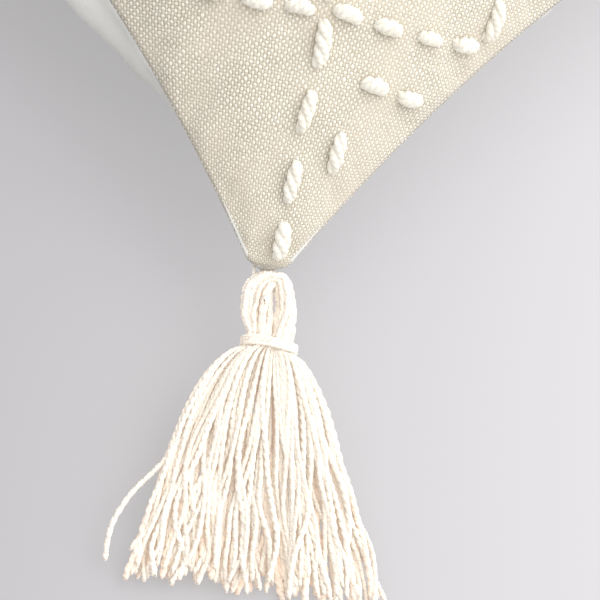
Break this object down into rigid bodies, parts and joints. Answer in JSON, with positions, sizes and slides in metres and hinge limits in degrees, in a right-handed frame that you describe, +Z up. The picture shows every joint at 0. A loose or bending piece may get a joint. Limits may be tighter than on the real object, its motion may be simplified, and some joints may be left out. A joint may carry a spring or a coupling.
{
  "type": "throw pillow",
  "caption": "Square throw pillow with a woven front, chunky yarn stitch lattice, plain back, zip in one seam and a fringed yarn tassel at each corner.",
  "frame": {"origin": "on the surface the pillow lies on, under the middle of its bounding box", "axes": "+Z up out of the front panel, the four sides along X and Y, the zip on the +Y side"},
  "size_m": [0.621, 0.621, 0.1444],
  "materials": {
    "woven_cloth": "coarse plain hand-woven natural cotton and linen",
    "plain_cloth": "smooth plain cotton, matt",
    "stitch_yarn": "thick soft roving yarn",
    "tassel_yarn": "twisted two-ply cotton yarn",
    "sewing_thread": "twisted sewing thread",
    "casing_cloth": "thin non-woven casing",
    "fibre": "loose polyester fibre",
    "zip_tape": "fine herringbone tape",
    "zip_plastic": "moulded plastic, satin",
    "zip_metal": "off-white enamel on die-cast metal"
  },
  "bodies": {
    "root": {"front_panel": "woven_cloth", "back_panel": "plain_cloth", "seam_thread_left": "sewing_thread", "seam_thread_top": "sewing_thread", "seam_thread_right": "sewing_thread", "seam_thread_bottom": "sewing_thread", "insert_casing_front": "casing_cloth", "insert_casing_back": "casing_cloth", "insert_seam_thread": "sewing_thread", "fibre_fill": "fibre", "zip_tape_front": "zip_tape", "zip_tape_back": "zip_tape", "zip_teeth_front": "zip_plastic", "zip_teeth_back": "zip_plastic", "zip_top_stops": "zip_plastic", "zip_bottom_stop": "zip_plastic", "zip_topstitch_front": "sewing_thread", "zip_topstitch_back": "sewing_thread", "yarn_stitches_along": "stitch_yarn", "yarn_stitches_across": "stitch_yarn", "yarn_stitches_diamonds": "stitch_yarn", "corner_bars": "sewing_thread"},
    "zip_slider_body": {"zip_slider": "zip_metal"},
    "zip_pull_body": {"zip_pull": "zip_metal"},
    "link_bottom_left": {"tassel_bottom_left_link": "sewing_thread"},
    "tassel_bottom_left": {"tassel_bottom_left_loop": "tassel_yarn", "tassel_bottom_left_wrap": "tassel_yarn", "tassel_bottom_left_skirt": "tassel_yarn"},
    "link_bottom_right": {"tassel_bottom_right_link": "sewing_thread"},
    "tassel_bottom_right": {"tassel_bottom_right_loop": "tassel_yarn", "tassel_bottom_right_wrap": "tassel_yarn", "tassel_bottom_right_skirt": "tassel_yarn"},
    "link_top_right": {"tassel_top_right_link": "sewing_thread"},
    "tassel_top_right": {"tassel_top_right_loop": "tassel_yarn", "tassel_top_right_wrap": "tassel_yarn", "tassel_top_right_skirt": "tassel_yarn"},
    "link_top_left": {"tassel_top_left_link": "sewing_thread"},
    "tassel_top_left": {"tassel_top_left_loop": "tassel_yarn", "tassel_top_left_wrap": "tassel_yarn", "tassel_top_left_skirt": "tassel_yarn"}
  },
  "joints": [
    {"name": "zip_slide", "type": "hinge", "parent": "root", "child": "zip_slider_body", "pos_m": [0, 0.43612, -0.41725], "axis": [0, -0.8944, -0.4472], "range_deg": [-36.87, 0]},
    {"name": "zip_pull_flip", "type": "hinge", "parent": "zip_slider_body", "child": "zip_pull_body", "pos_m": [-0.17033, 0.20856, 0.04028], "axis": [-0.2828, 0.0205, 0.9589], "range_deg": [0, 176]},
    {"name": "lift_bottom_left", "type": "hinge", "parent": "root", "child": "link_bottom_left", "pos_m": [0.20977, 0.20977, 0.025], "axis": [0.7071, -0.7071, 0], "range_deg": [0, 70]},
    {"name": "swing_bottom_left", "type": "hinge", "parent": "link_bottom_left", "child": "tassel_bottom_left", "pos_m": [0.21705, 0.21705, 0.02298], "axis": [0.1361, 0.1361, 0.9813], "range_deg": [-60, 60]},
    {"name": "lift_bottom_right", "type": "hinge", "parent": "root", "child": "link_bottom_right", "pos_m": [-0.20977, 0.20977, 0.025], "axis": [0.7071, 0.7071, 0], "range_deg": [0, 70]},
    {"name": "swing_bottom_right", "type": "hinge", "parent": "link_bottom_right", "child": "tassel_bottom_right", "pos_m": [-0.21705, 0.21705, 0.02298], "axis": [-0.1361, 0.1361, 0.9813], "range_deg": [-60, 60]},
    {"name": "lift_top_right", "type": "hinge", "parent": "root", "child": "link_top_right", "pos_m": [-0.20977, -0.20977, 0.025], "axis": [-0.7071, 0.7071, 0], "range_deg": [0, 70]},
    {"name": "swing_top_right", "type": "hinge", "parent": "link_top_right", "child": "tassel_top_right", "pos_m": [-0.21705, -0.21705, 0.02298], "axis": [-0.1361, -0.1361, 0.9813], "range_deg": [-60, 60]},
    {"name": "lift_top_left", "type": "hinge", "parent": "root", "child": "link_top_left", "pos_m": [0.20977, -0.20977, 0.025], "axis": [-0.7071, -0.7071, 0], "range_deg": [0, 70]},
    {"name": "swing_top_left", "type": "hinge", "parent": "link_top_left", "child": "tassel_top_left", "pos_m": [0.21705, -0.21705, 0.02298], "axis": [0.1361, -0.1361, 0.9813], "range_deg": [-60, 60]}
  ]
}
